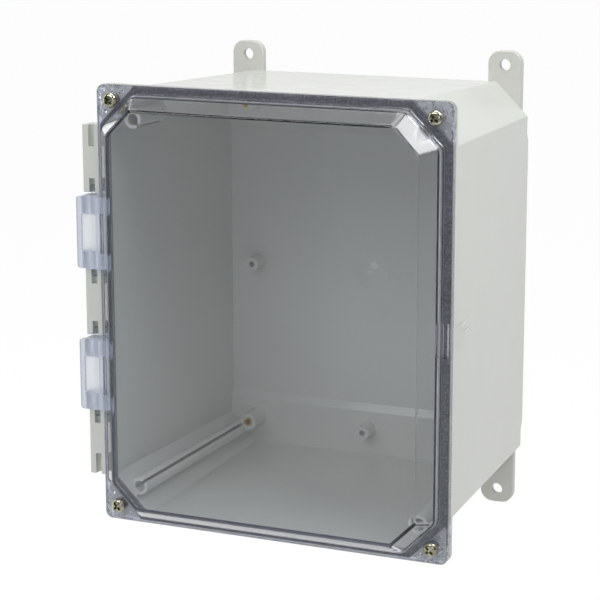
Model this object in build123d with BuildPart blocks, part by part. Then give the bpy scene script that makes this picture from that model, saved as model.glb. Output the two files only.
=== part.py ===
"""Wall mount enclosure: a moulded box with four feet and a hinged clear cover.

Millimetres. +X is to the right, +Z is up and the front faces -Y. The origin is the
centre of the four wall screw holes, on the wall plane. Depths are measured forward
from the wall, so a depth of 10 lies at Y = -10.
"""

import os
from math import cos, radians, sqrt, tan

from build123d import *

os.makedirs("parts", exist_ok=True)

# Feet and wall screws: the holes lie on a rectangle of 203.2 by 317.5
foot_hole_inset_x = 27.3
foot_hole_overhang_z = 4.05
foot_hole_radius = 4.25
foot_width = 25.0
foot_thickness = 5.5
foot_end_margin = 10.0
foot_tip_radius = 9.0
foot_length = 51.0
foot_edge_round = 0.8
foot_screw_inset = 28.0
foot_peg_inset = 37.5
foot_peg_radius = 2.5
foot_peg_height = 2.6
foot_peg_clearance = 0.15

# Body shell
rim_width = 257.8
rim_height = 309.4
rim_depth = 184.0
rim_corner_radius = 5.2
flange_thickness = 3.0
flange_overhang = 0.9
wall = 4.5
back_wall = 4.0
back_clearance = 2.0
side_draft = 2.7
top_draft = 2.25
corner_leg = 29.0
corner_leg_taper = 0.028
corner_edge_radius = 1.5
panel_foot_gap = 7.75
panel_slope_run = 5.5

# Screw towers behind the rim
tower_radius = 5.4
tower_depth = 14.0
tower_web_reach = 9.0

# Corner tubes inside the body
tube_radius = 6.2
tube_bore_radius = 3.9
tube_slot = 2.2
tube_web_width = 7.0
tube_web_reach = 8.4
tube_point_radius = 1.0
tube_inset_front = 18.6
tube_inset_back = 13.9
tube_front_setback = 1.0
short_tube_length = 45.0
short_tube_floor = 12.0

# Bosses on the back panel
boss_inset_x = 35.9
boss_inset_z = 32.2
corner_boss_radius = 7.0
corner_boss_height = 18.0
side_boss_radius = 6.0
side_boss_height = 13.0
boss_taper = 3.0
side_boss_hole_radius = 2.2
side_boss_hole_depth = 12.0
gate_disc_radius = 14.0
gate_disc_height = 1.0
foot_boss_radius = 5.0
foot_boss_height = 12.0

# Brass inserts
panel_insert_radius = 3.6
panel_insert_bore = 2.1
panel_insert_length = 9.5
cover_insert_radius = 3.9
cover_insert_length = 8.0
insert_groove_depth = 0.35
insert_groove_width = 1.2
insert_seat_clearance = 0.02

# Foot screws
foot_screw_radius = 1.9
foot_screw_length = 15.0
foot_screw_head_radius = 3.8
foot_screw_head_recess = 0.3
foot_screw_clearance = 0.1
foot_screw_point = 2.0
foot_recess_width = 1.1
foot_recess_span = 4.2
foot_recess_depth = 1.2

# Cover
cover_gap = 0.35
cover_flange = 4.0
cover_skirt_wall = 1.4
cover_skirt_depth = 3.0
cover_edge_round = 1.2
dome_root_inset = 5.3
dome_root_leg = 24.0
dome_crease_height = 5.4
dome_crease_inset = 6.2
dome_crease_leg = 23.6
dome_height = 18.2
dome_front_inset_x = 15.8
dome_front_inset_z = 14.5
dome_front_leg = 17.9
dome_wall = 3.0
dome_corner_round = 6.5
dome_root_round = 0.8
dome_crease_round = 2.5
dome_edge_round = 2.6
latch_slot_width = 3.3
latch_slot_height = 24.0
latch_slot_inset = 3.3
latch_slot_z = -1.1
latch_slot_depth = 2.6

# Gasket
gasket_width = 6.2
gasket_side_clearance = 0.1
gasket_rest_gap = 0.3
gasket_leg = 25.6

# Cover screws, M5
screw_inset_x = 11.2
screw_inset_z = 10.4
screw_radius = 2.4
screw_length = 14.4
screw_head_radius = 5.2
screw_head_height = 3.0
screw_head_round = 2.7
screw_swing_clearance = 0.4
screw_hole_clearance = 0.25
screw_point = 0.8
recess_width = 1.7
recess_span = 6.8
recess_depth = 2.4
recess_taper = 9.0
recess_turn = 45.0
seal_thickness = 0.6
seal_radius = 4.9
seal_clearance = 0.1
retainer_radius = 4.3
retainer_thickness = 1.2
retainer_gap = 0.05
retainer_clearance = 0.06

# Hinges and hinge rail
hinge_axis_offset = 8.8
hinge_centre_z = 50.8
hinge_height = 51.0
hinge_end_gap = 1.8
hinge_leaf_left = 9.4
hinge_leaf_thickness = 3.0
hinge_leaf_setback = 0.8
hinge_leaf_gap = 0.15
hinge_corner_radius = 2.5
hinge_knuckle_radius = 6.2
hinge_window_width = 11.8
hinge_window_height = 26.0
hinge_window_web = 0.8
tongue_length = 7.6
tongue_thickness = 1.8
tongue_height = 11.4
tongue_clearance = 0.1
pin_radius = 2.2
pin_clearance = 0.05
pin_overrun = 7.0
pin_end_chamfer = 0.5
rail_end_inset = 29.4
rail_left = 6.8
rail_thickness = 13.0
rail_groove_clearance = 0.1
rail_outer_groove = 15.0
rail_inner_groove = 10.0
rail_edge_radius = 1.0

# Latch lug on the right side
lug_height = 11.4
lug_centre_z = -0.8
lug_setback = 0.1
lug_length = 17.6
lug_rib_length = 22.0
lug_rib_thickness = 1.6
lug_rib_heights = (4.9, -1.2)

# Worked out from the sizes above
foot_x = rim_width / 2 - foot_hole_inset_x
foot_z = rim_height / 2 + foot_hole_overhang_z
foot_screw_z = foot_z - foot_screw_inset
foot_tip_z = foot_z + foot_end_margin
foot_root_z = foot_tip_z - foot_length
foot_peg_z = foot_z - foot_peg_inset
panel_half_height = foot_root_z - panel_foot_gap - panel_slope_run
boss_x = rim_width / 2 - boss_inset_x
boss_z = rim_height / 2 - boss_inset_z
screw_x = rim_width / 2 - screw_inset_x
screw_z = rim_height / 2 - screw_inset_z
latch_slot_x = rim_width / 2 - latch_slot_inset
hinge_axis_x = -rim_width / 2 - hinge_axis_offset
rail_half_height = rim_height / 2 - rail_end_inset
back_depth = back_clearance
band_depth = foot_thickness
band_inner_depth = band_depth + back_wall
back_inner_depth = back_depth + back_wall
flange_back_depth = rim_depth - flange_thickness
panel_slope = (band_depth - back_depth) / panel_slope_run
skirt_back_depth = rim_depth + cover_gap
cover_inner_depth = skirt_back_depth + cover_skirt_depth
cover_front_depth = cover_inner_depth + cover_flange
head_depth = cover_front_depth + seal_thickness
screw_tip_depth = head_depth - screw_length
screw_engagement = rim_depth - screw_tip_depth
hinge_axis_depth = rim_depth - screw_engagement / 2
cover_insert_bore = screw_radius + screw_swing_clearance
screw_hole_radius = screw_radius + screw_hole_clearance
gasket_half_width = rim_width / 2 - cover_skirt_wall - gasket_side_clearance
gasket_half_height = rim_height / 2 - cover_skirt_wall - gasket_side_clearance
tube_front_depth = rim_depth - tube_front_setback
leaf_front_depth = cover_front_depth - hinge_leaf_setback
leaf_back_depth = leaf_front_depth - hinge_leaf_thickness
leaf_left = hinge_axis_x - hinge_leaf_left
leaf_right = -rim_width / 2 - hinge_leaf_gap
leaf_middle_depth = (leaf_back_depth + leaf_front_depth) / 2
groove_half_width = pin_radius + rail_groove_clearance
tongue_middle_depth = cover_inner_depth + cover_flange / 2
tongue_offsets = [sign * (hinge_height - tongue_height) / 2 for sign in (1, -1)]
corner_boss_tip_depth = band_inner_depth + corner_boss_height
gate_dome_radius = (gate_disc_radius**2 + gate_disc_height**2) / (2 * gate_disc_height)
side_boss_places = [
    (back_inner_depth, [(-boss_x, 0), (boss_x, 0)]),
    (band_inner_depth, [(0, -boss_z), (0, boss_z)]),
]
dome_rise = dome_height - dome_crease_height
dome_slope = (dome_front_inset_x - dome_crease_inset) / dome_rise
dome_slope_wall = dome_wall * sqrt(1 + dome_slope**2)
dome_inner_drop = (dome_slope_wall - dome_wall) / dome_slope
corner_signs = [(-1, 1), (1, 1), (-1, -1), (1, -1)]
corner_names = ["top_left", "top_right", "bottom_left", "bottom_right"]


def corners(x, z):
    """The four points at plus and minus x and z."""
    return [(sx * x, sz * z) for sx, sz in corner_signs]


def cut_corner_points(half_width, half_height, leg):
    """Outline of a rectangle whose corners are cut at 45 degrees."""
    right = [
        (half_width, half_height - leg),
        (half_width - leg, half_height),
        (leg - half_width, half_height),
        (-half_width, half_height - leg),
    ]
    return right + [(-x, -z) for x, z in right]


def wall_side(x, depth, z):
    """A plane that faces the wall, for a hole drilled from behind."""
    return Plane((x, -depth, z), x_dir=(1, 0, 0), z_dir=(0, 1, 0))


def inset_leg(leg, inset):
    """Length of the corner cut after the outline moves inward."""
    return leg - inset * (2 - sqrt(2))


def wall_size(depth, inset=0.0):
    """Half width, half height and corner cut of the drafted wall at a depth."""
    fall = rim_depth - depth
    half_width = rim_width / 2 - flange_overhang - fall * tan(radians(side_draft))
    half_height = rim_height / 2 - flange_overhang - fall * tan(radians(top_draft))
    leg = inset_leg(corner_leg - fall * corner_leg_taper, inset)
    return half_width - inset, half_height - inset, leg


def tube_centre(sx, sz, depth):
    """Axis of a corner tube, which leans with the drafted wall."""
    share = (depth - band_inner_depth) / (tube_front_depth - band_inner_depth)
    inset = tube_inset_back + share * (tube_inset_front - tube_inset_back)
    half_width, half_height, _ = wall_size(depth, wall)
    return sx * (half_width - inset), sz * (half_height - inset)


def band_points(side, start, inner_z, inner_depth, outer_depth, far):
    """Side profile of the recessed band above or below the back panel."""
    return [
        (-start, side * inner_z),
        (-inner_depth, side * inner_z),
        (-outer_depth, side * (inner_z + (outer_depth - inner_depth) / panel_slope)),
        (-outer_depth, side * far),
        (-start, side * far),
    ]


# Cavity of the body, cut out of the shell below
with BuildPart() as cavity:
    for depth in (back_inner_depth, rim_depth + 1):
        with BuildSketch(Plane.XZ.offset(depth)):
            Polygon(*cut_corner_points(*wall_size(depth, wall)), align=None)
    loft(ruled=True)
    inner_step_z = panel_half_height - back_wall * (sqrt(1 + panel_slope**2) - 1) / panel_slope
    for side in (1, -1):
        with BuildSketch(Plane.YZ):
            Polygon(
                *band_points(
                    side, 0, inner_step_z, back_inner_depth, band_inner_depth, rim_height
                ),
                align=None,
            )
        extrude(amount=rim_width, both=True, mode=Mode.SUBTRACT)

# Corner tubes on webs: the lower two run to the back, the upper two are short
tube_ends = []
for sx, sz in corner_signs:
    tube_back = band_inner_depth if sz < 0 else tube_front_depth - short_tube_length
    tube_floor = band_inner_depth + foot_boss_height if sz < 0 else tube_back + short_tube_floor
    tube_ends.append((sx, sz, tube_back, tube_floor))

with BuildPart() as tube_hollows:
    for sx, sz, tube_back, tube_floor in tube_ends:
        for depth in (tube_floor, tube_front_depth):
            with BuildSketch(Plane.XZ.offset(depth)):
                with Locations(tube_centre(sx, sz, depth)):
                    Circle(tube_bore_radius)
        loft(ruled=True)
        slot_reach = tube_radius + tube_slot
        for depth in (tube_floor, tube_front_depth):
            x, z = tube_centre(sx, sz, depth)
            lean = slot_reach / 2 * cos(radians(45))
            with BuildSketch(Plane.XZ.offset(depth)):
                with Locations((x - sx * lean, z - sz * lean)):
                    Rectangle(slot_reach, tube_slot, rotation=45 * sx * sz)
        loft(ruled=True)

with BuildPart() as tubes:
    for sx, sz, tube_back, tube_floor in tube_ends:
        stations = [(tube_back, tube_radius if sz < 0 else tube_point_radius)]
        stations += [(tube_floor, tube_radius), (tube_front_depth, tube_radius)]
        for depth, radius in stations:
            with BuildSketch(Plane.XZ.offset(depth)):
                with Locations(tube_centre(sx, sz, depth)):
                    Circle(radius)
        loft(ruled=True)
        for depth in (tube_back, tube_front_depth):
            x, z = tube_centre(sx, sz, depth)
            lean = tube_web_reach / 2 * cos(radians(45))
            with BuildSketch(Plane.XZ.offset(depth)):
                with Locations((x + sx * lean, z + sz * lean)):
                    Rectangle(tube_web_reach, tube_web_width, rotation=45 * sx * sz)
        loft(ruled=True)
    add(tube_hollows.part, mode=Mode.SUBTRACT)

# Bosses for a back panel, taller in the corners, and for the foot screws
with BuildPart() as bosses:
    with BuildSketch(Plane.XZ.offset(band_inner_depth)):
        with Locations(*corners(boss_x, boss_z)):
            Circle(corner_boss_radius)
    extrude(amount=corner_boss_height, taper=boss_taper / 2)
    for depth, places in side_boss_places:
        with BuildSketch(Plane.XZ.offset(depth)):
            with Locations(*places):
                Circle(side_boss_radius)
        extrude(amount=side_boss_height, taper=boss_taper)
    with BuildSketch(Plane.XY):
        gate_tip = (0, -back_inner_depth - gate_disc_height)
        gate_edge = (gate_disc_radius, -back_inner_depth)
        with BuildLine():
            Polyline(gate_tip, (0, -back_inner_depth), gate_edge)
            RadiusArc(gate_edge, gate_tip, gate_dome_radius)
        make_face()
    revolve(axis=Axis.Y)
    with BuildSketch(Plane.XZ.offset(band_inner_depth)):
        with Locations(*corners(foot_x, foot_screw_z)):
            Circle(foot_boss_radius)
    extrude(amount=foot_boss_height)

# Towers behind the rim that carry the cover screw inserts
with BuildPart() as towers:
    with BuildSketch(Plane.XZ.offset(rim_depth - tower_depth)):
        for sx, sz in corner_signs:
            with Locations((sx * screw_x, sz * screw_z)):
                Circle(tower_radius)
            lean = tower_web_reach / 2 * cos(radians(45))
            with Locations((sx * (screw_x - lean), sz * (screw_z - lean))):
                Rectangle(tower_web_reach, 2 * tower_radius, rotation=45 * sx * sz)
    extrude(amount=tower_depth)

# Hinge rail in three lengths, grooved at the ends for the hinge pins
hinge_reach = hinge_height / 2 + hinge_end_gap
gap_top = hinge_centre_z + hinge_reach
gap_bottom = hinge_centre_z - hinge_reach
rail_lengths = [
    (gap_top, rail_half_height, rail_inner_groove, rail_outer_groove),
    (-gap_bottom, gap_bottom, rail_inner_groove, rail_inner_groove),
    (-rail_half_height, -gap_top, rail_outer_groove, rail_inner_groove),
]
rail_left_x = hinge_axis_x - rail_left
rail_right_x = -wall_size(rim_depth - rail_thickness, wall / 2)[0]

with BuildPart() as rail:
    with BuildSketch(Plane.XZ.offset(rim_depth - rail_thickness)):
        for low, high, _, _ in rail_lengths:
            with Locations(((rail_left_x + rail_right_x) / 2, (low + high) / 2)):
                Rectangle(rail_right_x - rail_left_x, high - low)
    extrude(amount=rail_thickness)
    fillet(rail.faces().sort_by(Axis.X).first.edges().filter_by(Axis.Z), radius=rail_edge_radius)
    for low, high, low_groove, high_groove in rail_lengths:
        for start, length in ((low, low_groove), (high - high_groove, high_groove)):
            with BuildSketch(Plane.XY.offset(start)):
                with Locations((hinge_axis_x, -hinge_axis_depth)):
                    Circle(groove_half_width)
                with Locations((hinge_axis_x, -(hinge_axis_depth + rim_depth) / 2)):
                    Rectangle(2 * groove_half_width, rim_depth - hinge_axis_depth)
            extrude(amount=length, mode=Mode.SUBTRACT)

# Latch lug and its two tapering ribs on the right side
lug_face = rim_width / 2 - lug_setback
lug_back_depth = flange_back_depth - lug_length
rib_back_depth = lug_back_depth - lug_rib_length
rib_root = wall_size(rib_back_depth, wall / 2)[0]

with BuildPart() as lug:
    with BuildSketch(Plane.XY.offset(lug_centre_z - lug_height / 2)):
        Polygon(
            (rib_root, -flange_back_depth),
            (lug_face, -flange_back_depth),
            (lug_face, -lug_back_depth),
            (rib_root, -lug_back_depth),
            align=None,
        )
    extrude(amount=lug_height)
    for rib_z in lug_rib_heights:
        with BuildSketch(Plane.XY.offset(rib_z - lug_rib_thickness)):
            Polygon(
                (rib_root, -lug_back_depth),
                (lug_face, -lug_back_depth),
                (wall_size(rib_back_depth)[0], -rib_back_depth),
                (rib_root, -rib_back_depth),
                align=None,
            )
        extrude(amount=lug_rib_thickness)

# Round holes in the body, each from its face inward: depth, direction, radius, places
foot_screw_hole = foot_screw_length - foot_thickness + foot_screw_point
body_holes = [
    (corner_boss_tip_depth, -panel_insert_length, panel_insert_radius + insert_seat_clearance,
     corners(boss_x, boss_z)),
    (rim_depth, -cover_insert_length, cover_insert_radius + insert_seat_clearance,
     corners(screw_x, screw_z)),
    (band_depth, foot_screw_hole, foot_screw_radius + foot_screw_clearance,
     corners(foot_x, foot_screw_z)),
    (band_depth, foot_peg_height + foot_peg_clearance, foot_peg_radius + foot_peg_clearance,
     corners(foot_x, foot_peg_z)),
]
body_holes += [
    (depth + side_boss_height, -side_boss_hole_depth, side_boss_hole_radius, places)
    for depth, places in side_boss_places
]

with BuildPart() as drillings:
    for depth, length, radius, places in body_holes:
        with BuildSketch(Plane.XZ.offset(depth)):
            with Locations(*places):
                Circle(radius)
        extrude(amount=length)

# Body: drafted shell and rim, with everything above moulded in
with BuildPart() as body:
    for depth in (back_depth, flange_back_depth):
        with BuildSketch(Plane.XZ.offset(depth)):
            Polygon(*cut_corner_points(*wall_size(depth)), align=None)
    loft(ruled=True)
    for side in (1, -1):
        with BuildSketch(Plane.YZ):
            Polygon(
                *band_points(side, 0, panel_half_height, back_depth, band_depth, rim_height),
                align=None,
            )
        extrude(amount=rim_width, both=True, mode=Mode.SUBTRACT)
    long_edges = body.edges().filter_by(lambda edge: abs((edge @ 0 - edge @ 1).Y) > rim_depth / 2)
    fillet(long_edges, radius=corner_edge_radius)
    with BuildSketch(Plane.XZ.offset(flange_back_depth)):
        RectangleRounded(rim_width, rim_height, rim_corner_radius)
    extrude(amount=flange_thickness)
    add(towers.part)
    add(cavity.part, mode=Mode.SUBTRACT)
    for moulding in (bosses, tubes, rail, lug):
        add(moulding.part)
    add(drillings.part, mode=Mode.SUBTRACT)

# Feet, each held by one screw and kept straight by a peg
feet = {}
for (sx, sz), corner in zip(corner_signs, corner_names):
    with BuildPart() as foot:
        with BuildSketch(Plane.XZ):
            with Locations((sx * foot_x, sz * (foot_tip_z + foot_root_z) / 2)):
                Rectangle(foot_width, foot_tip_z - foot_root_z)
        extrude(amount=foot_thickness)
        tip_edges = foot.edges().filter_by(Axis.Y).sort_by(Axis.Z)
        fillet(tip_edges[-2:] if sz > 0 else tip_edges[:2], radius=foot_tip_radius)
        fillet(foot.faces().sort_by(Axis.Y)[0].edges(), radius=foot_edge_round)
        with BuildSketch(Plane.XZ.offset(foot_thickness)):
            with Locations((sx * foot_x, sz * foot_peg_z)):
                Circle(foot_peg_radius)
        extrude(amount=foot_peg_height)
        with Locations(wall_side(sx * foot_x, 0, sz * foot_z)):
            Hole(foot_hole_radius, depth=foot_thickness)
        with Locations(wall_side(sx * foot_x, foot_screw_head_recess, sz * foot_screw_z)):
            CounterSinkHole(
                foot_screw_radius + foot_screw_clearance,
                foot_screw_head_radius + foot_screw_clearance,
                depth=foot_thickness,
                counter_sink_angle=90,
            )
        with BuildSketch(Plane.XZ):
            with Locations((sx * foot_x, sz * foot_screw_z)):
                Circle(foot_screw_head_radius + foot_screw_clearance)
        extrude(amount=foot_screw_head_recess, mode=Mode.SUBTRACT)
    feet[corner] = foot

# One foot screw, on the Y axis
foot_screw_taper = foot_screw_head_radius - foot_screw_radius
with BuildPart() as foot_screw:
    with BuildSketch(Plane.XY):
        Polygon(
            (0, -foot_screw_head_recess),
            (foot_screw_head_radius, -foot_screw_head_recess),
            (foot_screw_radius, -foot_screw_head_recess - foot_screw_taper),
            (foot_screw_radius, foot_screw_point - foot_screw_length),
            (0, -foot_screw_length),
            align=None,
        )
    revolve(axis=Axis.Y)
    with BuildSketch(Plane.XZ.offset(foot_screw_head_recess)):
        Rectangle(foot_recess_width, foot_recess_span)
        Rectangle(foot_recess_span, foot_recess_width)
    extrude(amount=foot_recess_depth, mode=Mode.SUBTRACT)

with BuildPart() as foot_screws:
    with Locations(*[(x, 0, z) for x, z in corners(foot_x, foot_screw_z)]):
        add(foot_screw.part)


def insert_profile(radius, bore, front, length):
    """Half section of a threaded brass insert with a groove round its middle."""
    middle = front - length / 2
    half_groove = insert_groove_width / 2
    Polygon(
        (bore, -front),
        (radius, -front),
        (radius, -middle - half_groove),
        (radius - insert_groove_depth, -middle - half_groove),
        (radius - insert_groove_depth, half_groove - middle),
        (radius, half_groove - middle),
        (radius, length - front),
        (bore, length - front),
        align=None,
    )


# Brass inserts: four for a back panel and four for the cover screws
with BuildPart() as panel_insert:
    with BuildSketch(Plane.XY):
        insert_profile(
            panel_insert_radius, panel_insert_bore, corner_boss_tip_depth, panel_insert_length
        )
    revolve(axis=Axis.Y)

with BuildPart() as panel_inserts:
    with Locations(*[(x, 0, z) for x, z in corners(boss_x, boss_z)]):
        add(panel_insert.part)

with BuildPart() as cover_insert:
    with BuildSketch(Plane.XY):
        insert_profile(cover_insert_radius, cover_insert_bore, rim_depth, cover_insert_length)
    revolve(axis=Axis.Y)

with BuildPart() as cover_inserts:
    with Locations(*[(x, 0, z) for x, z in corners(screw_x, screw_z)]):
        add(cover_insert.part)


def dome_outline(height, extra=0.0):
    """Outline of the dome at a height above the flange, moved inward by extra."""
    share = (height - dome_crease_height) / (dome_height - dome_crease_height)
    inset_x = dome_crease_inset + share * (dome_front_inset_x - dome_crease_inset)
    inset_z = dome_crease_inset + share * (dome_front_inset_z - dome_crease_inset)
    leg = dome_crease_leg + share * (dome_front_leg - dome_crease_leg)
    return cut_corner_points(
        rim_width / 2 - inset_x - extra, rim_height / 2 - inset_z - extra, inset_leg(leg, extra)
    )


def dome_root(extra=0.0):
    """Outline of the dome where it leaves the flange, moved inward by extra."""
    return cut_corner_points(
        rim_width / 2 - dome_root_inset - extra,
        rim_height / 2 - dome_root_inset - extra,
        inset_leg(dome_root_leg, extra),
    )


# Clear cover: flange with a skirt, raised dome with rounded edges, and hinge pockets
with BuildPart() as cover:
    with BuildSketch(Plane.XZ.offset(skirt_back_depth)):
        RectangleRounded(rim_width, rim_height, rim_corner_radius)
    extrude(amount=cover_front_depth - skirt_back_depth)
    fillet(cover.faces().sort_by(Axis.Y)[0].edges(), radius=cover_edge_round)
    with BuildSketch(Plane.XZ.offset(skirt_back_depth)):
        RectangleRounded(
            rim_width - 2 * cover_skirt_wall,
            rim_height - 2 * cover_skirt_wall,
            rim_corner_radius - cover_skirt_wall,
        )
    extrude(amount=cover_skirt_depth, mode=Mode.SUBTRACT)

    with BuildSketch(Plane.XZ.offset(cover_front_depth)) as section:
        Polygon(*dome_root(), align=None)
        fillet(section.vertices(), radius=dome_corner_round)
    for height in (dome_crease_height, dome_height):
        with BuildSketch(Plane.XZ.offset(cover_front_depth + height)) as section:
            Polygon(*dome_outline(height), align=None)
            fillet(section.vertices(), radius=dome_corner_round)
    loft(ruled=True)
    for depth, radius in (
        (cover_front_depth + dome_height, dome_edge_round),
        (cover_front_depth + dome_crease_height, dome_crease_round),
        (cover_front_depth, dome_root_round),
    ):
        level = cover.edges().filter_by_position(Axis.Y, -depth, -depth)
        fillet([edge for edge in level if abs(edge.center().X) < rim_width / 2 - dome_root_inset / 2
                and abs(edge.center().Z) < rim_height / 2 - dome_root_inset / 2], radius=radius)
    with BuildSketch(Plane.XZ.offset(cover_inner_depth)) as section:
        Polygon(*dome_root(dome_wall), align=None)
        fillet(section.vertices(), radius=dome_corner_round - dome_wall)
    for height in (dome_crease_height - dome_inner_drop, dome_height - dome_wall):
        with BuildSketch(Plane.XZ.offset(cover_front_depth + height)) as section:
            Polygon(*dome_outline(height, dome_slope_wall), align=None)
            fillet(section.vertices(), radius=dome_corner_round - dome_wall)
    loft(ruled=True, mode=Mode.SUBTRACT)

    with BuildSketch(Plane.XZ.offset(cover_inner_depth)):
        with Locations(*corners(screw_x, screw_z)):
            Circle(screw_hole_radius)
    extrude(amount=cover_flange, mode=Mode.SUBTRACT)

    for side in (1, -1):
        for tongue_z in tongue_offsets:
            with BuildSketch(Plane.YZ.offset(-rim_width / 2)):
                with Locations((-tongue_middle_depth, side * hinge_centre_z + tongue_z)):
                    Rectangle(
                        tongue_thickness + 2 * tongue_clearance, tongue_height + 2 * tongue_clearance
                    )
            extrude(amount=tongue_length + tongue_clearance, mode=Mode.SUBTRACT)
    with BuildSketch(Plane.XZ.offset(cover_front_depth)):
        with Locations((latch_slot_x, latch_slot_z)):
            SlotOverall(latch_slot_height, latch_slot_width, rotation=90)
    extrude(amount=-latch_slot_depth, mode=Mode.SUBTRACT)

# Foam gasket under the flange of the cover
with BuildPart() as gasket:
    with BuildSketch(Plane.XZ.offset(rim_depth + gasket_rest_gap)):
        for inset, mode in ((0, Mode.ADD), (gasket_width, Mode.SUBTRACT)):
            Polygon(
                *cut_corner_points(
                    gasket_half_width - inset, gasket_half_height - inset, inset_leg(gasket_leg, inset)
                ),
                align=None,
                mode=mode,
            )
    extrude(amount=cover_inner_depth - rim_depth - gasket_rest_gap)

# One cover screw, its seal and its retainer, on the Y axis
with BuildPart() as screw_shape:
    with BuildSketch(Plane.XZ.offset(screw_tip_depth)):
        Circle(screw_radius)
    extrude(amount=screw_length)
    chamfer(screw_shape.faces().sort_by(Axis.Y)[-1].edges(), length=screw_point)
    with BuildSketch(Plane.XZ.offset(head_depth)):
        Circle(screw_head_radius)
    extrude(amount=screw_head_height)
    fillet(screw_shape.faces().sort_by(Axis.Y)[0].edges(), radius=screw_head_round)
    with BuildSketch(Plane.XZ.offset(head_depth + screw_head_height)):
        Rectangle(recess_width, recess_span, rotation=recess_turn)
        Rectangle(recess_span, recess_width, rotation=recess_turn)
    extrude(amount=-recess_depth, taper=recess_taper, mode=Mode.SUBTRACT)

with BuildPart() as seal_shape:
    with BuildSketch(Plane.XZ.offset(cover_front_depth)):
        Circle(seal_radius)
        Circle(screw_radius + seal_clearance, mode=Mode.SUBTRACT)
    extrude(amount=seal_thickness)

with BuildPart() as retainer_shape:
    with BuildSketch(Plane.XZ.offset(cover_inner_depth - retainer_gap - retainer_thickness)):
        Circle(retainer_radius)
        Circle(screw_radius + retainer_clearance, mode=Mode.SUBTRACT)
    extrude(amount=retainer_thickness)

with BuildPart() as screw_retainers:
    with Locations(*[(x, 0, z) for x, z in corners(screw_x, screw_z)]):
        add(retainer_shape.part)

cover_screws = {}
screw_seals = {}
for (x, z), corner in zip(corners(screw_x, screw_z), corner_names):
    with BuildPart() as cover_screw:
        with Locations((x, 0, z)):
            add(screw_shape.part)
    cover_screws[corner] = cover_screw
    with BuildPart() as screw_seal:
        with Locations((x, 0, z)):
            add(seal_shape.part)
    screw_seals[corner] = screw_seal

# Hinges: a clear leaf in front of two knuckles, turning on a pin
hinge_leaves = {}
hinge_pins = {}
for side, level in ((1, "upper"), (-1, "lower")):
    centre_z = side * hinge_centre_z
    bottom_z = centre_z - hinge_height / 2
    with BuildPart() as hinge_leaf:
        with BuildSketch(Plane.XZ.offset(leaf_back_depth)):
            with Locations(((leaf_left + leaf_right) / 2, centre_z)):
                Rectangle(leaf_right - leaf_left, hinge_height)
        extrude(amount=hinge_leaf_thickness)
        fillet(hinge_leaf.edges().filter_by(Axis.Y), radius=hinge_corner_radius)
        with BuildSketch(Plane.XZ.offset(leaf_front_depth)):
            with Locations((hinge_axis_x, centre_z)):
                Rectangle(hinge_window_width, hinge_window_height)
        extrude(amount=hinge_window_web - hinge_leaf_thickness, mode=Mode.SUBTRACT)
        knuckle_height = (hinge_height - hinge_window_height) / 2
        for start in (bottom_z, centre_z + hinge_window_height / 2):
            with BuildSketch(Plane.XY.offset(start)):
                with Locations((hinge_axis_x, -hinge_axis_depth)):
                    Circle(hinge_knuckle_radius)
                with Locations((hinge_axis_x, -(hinge_axis_depth + leaf_middle_depth) / 2)):
                    Rectangle(2 * hinge_knuckle_radius, leaf_middle_depth - hinge_axis_depth)
            extrude(amount=knuckle_height)
        with BuildSketch(Plane.XY.offset(bottom_z)):
            with Locations((hinge_axis_x, -hinge_axis_depth)):
                Circle(pin_radius + pin_clearance)
        extrude(amount=hinge_height, mode=Mode.SUBTRACT)
        for tongue_z in tongue_offsets:
            with BuildSketch(Plane.YZ.offset(leaf_right - hinge_corner_radius)):
                with Locations((-tongue_middle_depth, centre_z + tongue_z)):
                    Rectangle(tongue_thickness, tongue_height)
            extrude(amount=tongue_length - hinge_leaf_gap + hinge_corner_radius)
    hinge_leaves[level] = hinge_leaf
    with BuildPart() as hinge_pin:
        with BuildSketch(Plane.XY.offset(bottom_z - pin_overrun)):
            with Locations((hinge_axis_x, -hinge_axis_depth)):
                Circle(pin_radius)
        extrude(amount=hinge_height + 2 * pin_overrun)
        chamfer(hinge_pin.edges().filter_by(GeomType.CIRCLE), length=pin_end_chamfer)
    hinge_pins[level] = hinge_pin

# Names and files
pieces = {
    "enclosure_body": body,
    "clear_cover": cover,
    "cover_gasket": gasket,
    "foot_screws": foot_screws,
    "panel_inserts": panel_inserts,
    "cover_screw_inserts": cover_inserts,
    "screw_retainers": screw_retainers,
}
for corner in corner_names:
    pieces["foot_" + corner] = feet[corner]
    pieces["cover_screw_" + corner] = cover_screws[corner]
    pieces["screw_seal_" + corner] = screw_seals[corner]
for level in ("upper", "lower"):
    pieces["hinge_leaf_" + level] = hinge_leaves[level]
    pieces["hinge_pin_" + level] = hinge_pins[level]
for name, piece in pieces.items():
    piece.part.label = name
    export_step(piece.part, "parts/" + name + ".step")
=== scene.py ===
"""Wall mount enclosure: materials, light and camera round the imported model.

Metres, in the model's own frame. +X is to the right, +Z is up and the front faces -Y.
"""

import math

import bpy
from mathutils import Euler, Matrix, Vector


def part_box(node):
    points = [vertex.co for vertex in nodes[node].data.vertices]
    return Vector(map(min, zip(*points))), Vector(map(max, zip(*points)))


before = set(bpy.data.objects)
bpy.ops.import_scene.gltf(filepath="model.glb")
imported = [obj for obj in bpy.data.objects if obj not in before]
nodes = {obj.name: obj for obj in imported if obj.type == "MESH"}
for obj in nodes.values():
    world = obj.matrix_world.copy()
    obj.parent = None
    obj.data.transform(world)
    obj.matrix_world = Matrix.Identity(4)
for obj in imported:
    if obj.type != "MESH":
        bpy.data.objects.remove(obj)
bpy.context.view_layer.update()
mm = 0.001

# Boxes of the nodes that carry markings
cover_low, cover_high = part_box("clear_cover")
leaf_low, leaf_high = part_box("hinge_leaf_upper")
pin_low, pin_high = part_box("hinge_pin_upper")
body_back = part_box("enclosure_body")[1].y

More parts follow.
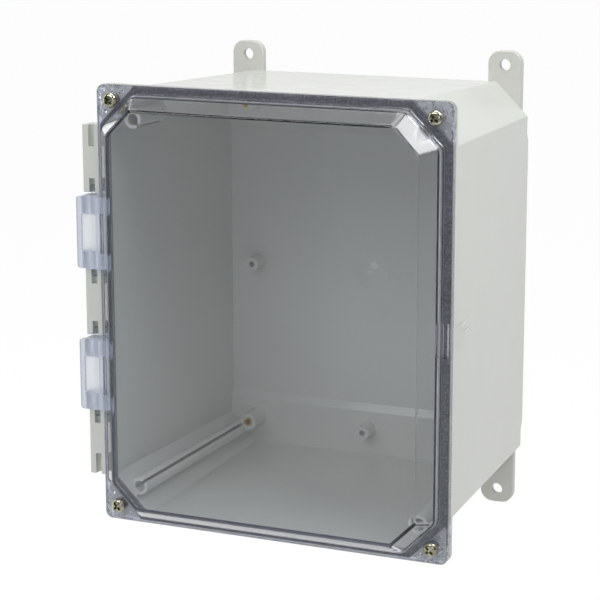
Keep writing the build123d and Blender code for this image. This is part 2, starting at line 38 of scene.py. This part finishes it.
# Cover, centred on X and Z: a dome on a flange, with a crease round the dome's foot. The sizes
# are the part's own
dome_height = 18.2 * mm
crease_height = 5.4 * mm
crease_inset = 6.2 * mm
crease_leg = 23.6 * mm
cover_half_x = cover_high.x
cover_half_z = cover_high.z
cover_corner = cover_half_x + cover_half_z
flange_face = cover_low.y + dome_height
crease_y = flange_face - crease_height
crease_x = cover_half_x - crease_inset
crease_z = cover_half_z - crease_inset
crease_chamfer = crease_x + crease_z - crease_leg

# How far above the flange its cloudy finish starts to fade, and where the fade ends
cloud_fade = (1.65 * mm, 0.35 * mm)
# Painted highlight line on the crease: where it fades across, and its inner side on the sides and
# chamfers
crease_fade = (1.3 * mm, 0.5 * mm)
crease_inner = (1.5 * mm, 0.9 * mm)
crease_inner_chamfer = (2.1 * mm, 1.3 * mm)
# Ripples in the flange's corners, as distances inward from the cover's corner and sides
ripple_corner = (23.6 * mm, 15.6 * mm)
ripple_side_x = (9.4 * mm, 7.4 * mm)
ripple_side_z = (8.2 * mm, 6.7 * mm)
# Ejector marks by each cover screw, as distances inward from the cover's sides
ejector_marks = [(19.1 * mm, 4.5 * mm), (5.6 * mm, 18.8 * mm)]
ejector_fade = (0.5 * mm, 1.3 * mm)

# Thin window in each hinge leaf, and the pin behind it. Both are painted paler there, as painted
# light shining through the window
hinge_x = (pin_low.x + pin_high.x) / 2
hinge_z = (leaf_low.z + leaf_high.z) / 2
window_half_x = 5.9 * mm
window_half_z = 12.9 * mm
window_fade = 0.3 * mm

# Scar of the moulding gate, on the disc in the middle of the back wall: a rough bump, with a
# near-white spot painted on it as a highlight
back_wall = 4.0 * mm
gate_disc_height = 1.0 * mm
scar_x = 2.9 * mm
scar_y = body_back - back_wall - gate_disc_height
scar_z = 4.2 * mm
scar_ragged = 1.4 * mm
scar_fade = (3.6 * mm, 2.6 * mm)
scar_reach = (2.0 * mm, 1.5 * mm)

# Refractive indices
moulded_ior = 1.5
polycarbonate_ior = 1.585
foam_ior = 1.4


def srgb(*levels):
    """Linear colour of 8-bit display levels."""
    out = []
    for level in levels:
        share = level / 255
        out.append(share / 12.92 if share <= 0.04045 else ((share + 0.055) / 1.055) ** 2.4)
    return (*out, 1.0)


def tint(*shares):
    """Linear colour of the shares of red, green and blue."""
    return (*shares, 1.0)


class Nodes:
    """Node tree of a new material or world, with short calls to add and join nodes."""

    def __init__(self, owner, output):
        owner.use_nodes = True
        self.owner = owner
        self.tree = owner.node_tree
        self.tree.nodes.clear()
        self.output = self.add(output)

    def add(self, kind, links=None, **values):
        """A node: its links by socket, its settings and plain inputs by name."""
        node = self.tree.nodes.new("ShaderNode" + kind)
        for key, value in values.items():
            if hasattr(node, key):
                setattr(node, key, value)
            else:
                node.inputs[key.replace("_", " ")].default_value = value
        for key, source in (links or {}).items():
            self.tree.links.new(source, node.inputs[key])
        return node

    def feed(self, socket, source):
        """Sets a socket to a plain number or colour, or links a source to it."""
        if isinstance(source, (int, float, tuple)):
            socket.default_value = source
        else:
            self.tree.links.new(source, socket)

    def end(self, source, socket="Surface"):
        self.tree.links.new(source, self.output.inputs[socket])

    def place(self):
        return self.add("TexCoord").outputs["Object"]

    def axes(self):
        """Object coordinates X, Y and Z, one by one."""
        return self.add("SeparateXYZ", {0: self.place()}).outputs

    def noise(self, scale, detail=3.0, roughness=0.55):
        return self.add(
            "TexNoise", {"Vector": self.place()}, Scale=scale, Detail=detail, Roughness=roughness
        ).outputs["Fac"]

    def ramp(self, factor, stops):
        node = self.add("ValToRGB", {"Fac": factor})
        for element, (position, colour) in zip(node.color_ramp.elements, stops):
            element.position = position
            element.color = colour
        return node.outputs["Color"]

    def span(self, source, low, high, start=0.3, end=0.7):
        """Low before the start, high beyond the end. Noise mostly lies between 0.3 and 0.7."""
        return self.add(
            "MapRange", {"Value": source}, From_Min=start, From_Max=end, To_Min=low, To_Max=high
        ).outputs["Result"]

    def rise(self, source, start, end):
        """0 before the start and 1 beyond the end."""
        return self.span(source, 0.0, 1.0, start, end)

    def inside(self, source, edge, fade):
        """0 up to the first distance inward from an edge and 1 from the second."""
        return self.rise(source, edge - fade[0], edge - fade[1])

    def near(self, source, value, fade):
        """1 close to a value and 0 beyond the first of the two distances from it."""
        gap = self.math("ABSOLUTE", self.math("SUBTRACT", source, value))
        return self.rise(gap, *fade)

    def radius(self, first, second, place):
        """Distance of two coordinates from a place."""
        squares = [
            self.math("POWER", self.math("SUBTRACT", source, value), 2.0)
            for source, value in zip((first, second), place)
        ]
        return self.math("SQRT", self.math("ADD", *squares))

    def math(self, operation, first, second=0.0):
        """One sum on two sources or plain numbers."""
        node = self.add("Math", operation=operation)
        self.feed(node.inputs[0], first)
        self.feed(node.inputs[1], second)
        return node.outputs[0]

    def dot(self, vector, direction):
        node = self.add("VectorMath", operation="DOT_PRODUCT")
        self.feed(node.inputs[0], vector)
        self.feed(node.inputs[1], direction)
        return node.outputs["Value"]

    def mix(self, factor, base, over):
        """Colour that goes from the base to the other by the factor."""
        node = self.add("Mix", data_type="RGBA")
        self.feed(node.inputs[0], factor)
        self.feed(node.inputs[6], base)
        self.feed(node.inputs[7], over)
        return node.outputs[2]

    def bump(self, height, strength, distance, normal=None):
        links = {"Height": height}
        if normal is not None:
            links["Normal"] = normal
        return self.add("Bump", links, Strength=strength, Distance=distance).outputs["Normal"]

    def rays(self):
        """Factors for what the camera sees, direct or through plastic, and for reflections."""
        path = self.add("LightPath").outputs
        seen = self.math("MAXIMUM", path["Is Camera Ray"], path["Is Transmission Ray"])
        return seen, path["Is Glossy Ray"]


def new_material(name):
    return Nodes(bpy.data.materials.new(name), "OutputMaterial")


def gate_scar_highlight(m, tone, normal):
    """The broken-off gate: a small uneven spot, rougher than the wall round it, and painted paler as
    a highlight.
    """
    x, y, z = m.axes()
    ragged = m.span(m.noise(scale=420.0, detail=2.0), -scar_ragged, scar_ragged)
    far = m.math("ADD", m.radius(x, z, (scar_x, scar_z)), ragged)
    spot = m.math("MULTIPLY", m.rise(far, *scar_fade), m.near(y, scar_y, scar_reach))
    broken = m.math("MULTIPLY", spot, m.noise(scale=1500.0, detail=2.0))
    # Painted highlight: the spot is painted near-white
    paler = m.mix(spot, tone, srgb(250, 252, 250))
    return paler, m.bump(broken, strength=0.8, distance=0.8 * mm, normal=normal)


def plain_plastic(name, dark, light, rough_low, rough_high, grain, scar_highlight=False):
    """Moulded plastic: faint flow marks, a fine grain and patches of finer polish."""
    m = new_material(name)
    tone = m.ramp(m.noise(scale=9.0), [(0.3, dark), (0.7, light)])
    rough = m.span(m.noise(scale=50.0), rough_low, rough_high)
    fine = m.bump(m.noise(scale=2600.0, detail=2.0), strength=grain, distance=0.02 * mm)
    flow = m.noise(scale=24.0, detail=1.0)
    waves = m.bump(flow, strength=0.01, distance=0.2 * mm, normal=fine)
    if scar_highlight:
        tone, waves = gate_scar_highlight(m, tone, waves)
    links = {"Base Color": tone, "Roughness": rough, "Normal": waves}
    m.end(m.add("BsdfPrincipled", links, IOR=moulded_ior).outputs["BSDF"])
    return m.owner


def see_through(m, surface, lamp_tint, body_tint, density):
    """Ends a clear material: darkens with depth, lets the lamps through to what it covers."""
    path = m.add("LightPath").outputs
    lets = m.math("MAXIMUM", path["Is Shadow Ray"], path["Is Diffuse Ray"])
    clear = m.add("BsdfTransparent", Color=lamp_tint)
    mix = m.add("MixShader", {0: lets, 1: surface, 2: clear.outputs["BSDF"]})
    m.end(mix.outputs[0])
    depth = m.add("VolumeAbsorption", Color=body_tint, Density=density)
    m.end(depth.outputs[0], "Volume")
    return m.owner


def shallow_waves(m):
    return m.bump(m.noise(scale=22.0, detail=1.0), strength=0.05, distance=0.3 * mm)


def cover_plastic(
    name, dome_tint, cloud_dark, cloud_light, crease_highlight_tint, crease_rough, lamp_tint, body_tint, density
):
    """Clear plastic, polished on the dome and cloudy on the flange, with a painted highlight along
    the crease.
    """
    m = new_material(name)
    x, y, z = m.axes()
    across = m.math("ABSOLUTE", x)
    up = m.math("ABSOLUTE", z)
    slant = m.math("ADD", across, up)
    flange = m.inside(y, flange_face, cloud_fade)

    beside = m.math(
        "MAXIMUM",
        m.inside(across, crease_x, crease_inner),
        m.inside(up, crease_z, crease_inner),
    )
    outside = m.math("MAXIMUM", beside, m.inside(slant, crease_chamfer, crease_inner_chamfer))
    crease = m.math("MULTIPLY", m.near(y, crease_y, crease_fade), outside)

    clouds = m.ramp(
        m.noise(scale=60.0, detail=5.0, roughness=0.7), [(0.35, cloud_dark), (0.68, cloud_light)]
    )
    # Painted highlight: the crease line is mixed towards a paler, clearer tint
    colour = m.mix(crease, m.mix(flange, dome_tint, clouds), crease_highlight_tint)

    polish = m.span(m.noise(scale=90.0), 0.008, 0.02)
    haze = m.span(m.noise(scale=140.0, detail=4.0, roughness=0.65), 0.04, 0.2)
    dull = m.math("ADD", polish, m.math("MULTIPLY", haze, flange))
    rough = m.math("ADD", dull, m.math("MULTIPLY", crease, crease_rough))

    corner = m.inside(slant, cover_corner, ripple_corner)
    outer = m.math(
        "MAXIMUM",
        m.inside(across, cover_half_x, ripple_side_x),
        m.inside(up, cover_half_z, ripple_side_z),
    )
    where = m.math("MULTIPLY", corner, outer)
    ripples = m.math("MULTIPLY", m.noise(scale=330.0, detail=2.0), where)
    rippled = m.bump(ripples, strength=0.9, distance=2.5 * mm, normal=shallow_waves(m))

    dips = [
        m.rise(m.radius(across, up, (cover_half_x - in_x, cover_half_z - in_z)), *ejector_fade)
        for in_x, in_z in ejector_marks
    ]
    marks = m.math("MULTIPLY", m.math("MULTIPLY", *dips), flange)
    marked = m.bump(marks, strength=0.9, distance=0.6 * mm, normal=rippled)
    links = {"Base Color": colour, "Roughness": rough, "Normal": marked}
    glass = m.add("BsdfPrincipled", links, IOR=polycarbonate_ior, Transmission_Weight=1.0)
    return see_through(m, glass.outputs["BSDF"], lamp_tint, body_tint, density)


def milky_plastic(
    name, tone, window_light_tint, rough_low, rough_high, milk, lamp_tint, body_tint, density
):
    """Milky plastic with faint flow marks, painted paler where a hinge leaf's thin window is, as
    light shining through it.
    """
    m = new_material(name)
    x, _, z = m.axes()
    window = m.math(
        "MULTIPLY",
        m.near(x, hinge_x, (window_half_x + window_fade, window_half_x)),
        m.near(m.math("ABSOLUTE", z), hinge_z, (window_half_z + window_fade, window_half_z)),
    )
    darker = tint(*(0.98 * share for share in tone[:3]))
    flow = m.ramp(m.noise(scale=40.0, detail=4.0, roughness=0.65), [(0.3, darker), (0.7, tone)])
    # Painted light: where the window is, the colour goes towards near-white
    colour = m.mix(window, flow, window_light_tint)
    rough = m.span(m.noise(scale=90.0), rough_low, rough_high)
    links = {"Base Color": colour, "Roughness": rough, "Normal": shallow_waves(m)}
    glass = m.add("BsdfPrincipled", links, IOR=polycarbonate_ior, Transmission_Weight=1.0 - milk)
    return see_through(m, glass.outputs["BSDF"], lamp_tint, body_tint, density)


def metal(name, dark, light, rough_low, rough_high):
    """Plated or turned metal with a fine uneven finish."""
    m = new_material(name)
    tone = m.ramp(m.noise(scale=270.0), [(0.35, dark), (0.65, light)])
    rough = m.span(m.noise(scale=900.0, detail=2.0), rough_low, rough_high)
    fine = m.bump(m.noise(scale=1800.0, detail=2.0), strength=0.12, distance=0.03 * mm)
    links = {"Base Color": tone, "Roughness": rough, "Normal": fine}
    m.end(m.add("BsdfPrincipled", links, Metallic=1.0).outputs["BSDF"])
    return m.owner


def foam(name, dark, light):
    """Closed-cell foam or rubber: small uneven cells, matte."""
    m = new_material(name)
    cells = m.add("TexVoronoi", {"Vector": m.place()}, Scale=700.0).outputs["Distance"]
    tone = m.ramp(cells, [(0.1, light), (0.6, dark)])
    lumps = m.bump(cells, strength=0.7, distance=0.4 * mm)
    grain = m.noise(scale=2200.0, detail=2.0)
    fine = m.bump(grain, strength=0.4, distance=0.1 * mm, normal=lumps)
    links = {"Base Color": tone, "Normal": fine}
    m.end(m.add("BsdfPrincipled", links, Roughness=0.9, IOR=foam_ior).outputs["BSDF"])
    return m.owner


body_grey = plain_plastic(
    "grey_plastic",
    dark=srgb(215, 218, 212),
    light=srgb(218, 221, 215),
    rough_low=0.13,
    rough_high=0.19,
    grain=0.06,
    scar_highlight=True,
)
foot_grey = plain_plastic(
    "foot_plastic",
    dark=srgb(206, 207, 202),
    light=srgb(210, 211, 206),
    rough_low=0.2,
    rough_high=0.28,
    grain=0.1,
)
nylon = plain_plastic(
    "nylon",
    dark=srgb(150, 151, 156),
    light=srgb(164, 165, 170),
    rough_low=0.4,
    rough_high=0.5,
    grain=0.1,
)
clear = cover_plastic(
    "clear_plastic",
    dome_tint=tint(0.80, 0.805, 0.82),
    cloud_dark=tint(0.71, 0.725, 0.79),
    cloud_light=tint(0.86, 0.87, 0.93),
    # Colour of the painted highlight along the crease
    crease_highlight_tint=tint(0.93, 0.94, 1.0),
    crease_rough=0.3,
    lamp_tint=tint(0.89, 0.892, 0.897),
    body_tint=tint(0.5, 0.54, 0.78),
    density=26.0,
)
clear_leaf = milky_plastic(
    "clear_leaf_plastic",
    tone=tint(0.79, 0.82, 0.89),
    window_light_tint=tint(0.97, 0.975, 0.98),
    rough_low=0.3,
    rough_high=0.38,
    milk=0.4,
    lamp_tint=tint(0.8, 0.84, 0.9),
    body_tint=tint(0.6, 0.68, 0.88),
    density=30.0,
)
clear_pin = milky_plastic(
    "pin_plastic",
    tone=tint(0.80, 0.82, 0.84),
    window_light_tint=tint(0.97, 0.975, 0.98),
    rough_low=0.1,
    rough_high=0.16,
    milk=0.05,
    lamp_tint=tint(0.8, 0.82, 0.84),
    body_tint=tint(0.6, 0.64, 0.7),
    density=60.0,
)
gasket_foam = foam("foam_rubber", dark=srgb(112, 112, 114), light=srgb(156, 156, 158))
seal_rubber = foam("seal_rubber", dark=srgb(18, 18, 19), light=srgb(34, 34, 35))
zinc = metal("zinc_steel", srgb(158, 156, 134), srgb(206, 204, 184), rough_low=0.07, rough_high=0.14)
brass = metal("brass", srgb(210, 176, 78), srgb(240, 212, 118), rough_low=0.14, rough_high=0.24)

# Each node takes the material of the first start that its name fits
finish = [
    ("enclosure_body", body_grey),
    ("foot_screws", zinc),
    ("foot_", foot_grey),
    ("panel_inserts", brass),
    ("clear_cover", clear),
    ("cover_gasket", gasket_foam),
    ("cover_screw_inserts", brass),
    ("cover_screw_", zinc),
    ("screw_retainers", nylon),
    ("screw_seal_", seal_rubber),
    ("hinge_leaf_", clear_leaf),
    ("hinge_pin_", clear_pin),
]
for name, node in nodes.items():
    look = next(material for start, material in finish if name.startswith(start))
    for slot in node.material_slots:
        slot.link = "OBJECT"
        slot.material = look

# World: a soft tent, brighter to the right and behind, and dimmer in reflections. It is white to
# the camera, also through plastic. Reflections see its back half paler, as they would a bright room
tent_level = 0.38
tent_slope = (0.1, 0.2, 0.0)
tent_gloss_share = 0.4
back_gloss = 0.8
back_start = -0.2
back_full = 0.3

world = bpy.data.worlds.new("studio")
bpy.context.scene.world = world
sky = Nodes(world, "OutputWorld")
facing = sky.add("TexCoord").outputs["Generated"]
seen, glossy = sky.rays()
tent = sky.math("ADD", sky.dot(facing, tent_slope), tent_level)
tent_part = sky.math("MULTIPLY", tent, sky.span(glossy, 1.0, tent_gloss_share, 0.0, 1.0))
soft = sky.add("Background", {"Strength": tent_part}, Color=tint(0.8, 0.8, 0.8))
white_part = sky.span(seen, back_gloss, 1.0, 0.0, 1.0)
white = sky.add("Background", {"Strength": white_part}, Color=tint(1.0, 1.0, 1.0))
behind = sky.rise(sky.add("SeparateXYZ", {0: facing}).outputs["Y"], back_start, back_full)
shown = sky.math("MAXIMUM", seen, sky.math("MULTIPLY", behind, glossy))
sky.end(sky.add("MixShader", {0: shown, 1: soft.outputs[0], 2: white.outputs[0]}).outputs[0])


def area_light(name, place, target, size, watts):
    data = bpy.data.lights.new(name, "AREA")
    data.shape = "RECTANGLE"
    data.size, data.size_y = size
    data.energy = watts
    light = bpy.data.objects.new(name, data)
    bpy.context.collection.objects.link(light)
    light.location = place
    aim = Vector(target) - Vector(place)
    light.rotation_euler = aim.to_track_quat("-Z", "Y").to_euler()
    light.visible_camera = False


# Lamps: name, place, target, width and height, watts
lamps = [
    ("front_high", (-0.45, -1.6, 1.15), (0.0, -0.1, -0.05), (1.5, 0.8), 11.6),
    ("overhead", (0.0, -0.15, 1.5), (0.0, -0.1, 0.1), (0.9, 0.9), 6.8),
    ("near_right", (0.68, -0.3, 0.85), (0.13, -0.1, 0.1), (0.5, 0.5), 4.7),
    ("camera_side", (0.6, -1.8, 0.3), (0.0, -0.1, 0.0), (0.8, 0.8), 3.0),
    ("left_strip", (-1.5, -0.6, 0.35), (-0.1, -0.19, 0.0), (0.5, 1.3), 4.0),
    ("left_rim", (-1.4, 0.68, 0.456), (-0.108, -0.203, 0.136), (0.5, 0.5), 1.2),
]
for lamp in lamps:
    area_light(*lamp)

# Floor, well below the feet: pale, and white to the camera except for a faint shadow.
# Reflections see it white only behind the box and to its left
floor_level = -0.42
floor_reach = 40.0
floor_share = 0.9
floor_glow = 1.06
floor_away = (-0.8, 1.0, 0.0)
floor_away_start = -0.2
floor_away_full = 0.3

corners = [(-1, -1), (1, -1), (1, 1), (-1, 1)]
floor_mesh = bpy.data.meshes.new("floor")
floor_mesh.from_pydata(
    [(sx * floor_reach, sy * floor_reach, floor_level) for sx, sy in corners], [], [(0, 1, 2, 3)]
)
floor = bpy.data.objects.new("floor", floor_mesh)
bpy.context.collection.objects.link(floor)
ground = new_material("floor")
floor_seen, floor_glossy = ground.rays()
away = ground.rise(ground.dot(ground.place(), floor_away), floor_away_start, floor_away_full)
floor_shown = ground.math("MAXIMUM", floor_seen, ground.math("MULTIPLY", away, floor_glossy))
glow_part = ground.math("MULTIPLY", floor_shown, floor_share)
pale = ground.add("BsdfDiffuse", Color=tint(0.8, 0.8, 0.8))
glow = ground.add("Emission", Strength=floor_glow)
ground.end(ground.add("MixShader", {0: glow_part, 1: pale.outputs[0], 2: glow.outputs[0]}).outputs[0])
floor.data.materials.append(ground.owner)

# Camera at the photograph's angle, from a fit to the straight edges of the box and cover
camera_place = (0.5703, -1.4332, 0.3201)
camera_degrees = (77.4236, 0.1062, 23.7655)
camera_lens = 125.14
camera_sensor = 36.0

camera_data = bpy.data.cameras.new("camera")
camera_data.sensor_width = camera_sensor
camera_data.lens = camera_lens
camera = bpy.data.objects.new("camera", camera_data)
bpy.context.collection.objects.link(camera)
camera.location = camera_place
camera.rotation_euler = Euler([math.radians(angle) for angle in camera_degrees])
bpy.context.scene.camera = camera

bpy.context.scene.view_settings.view_transform = "Standard"
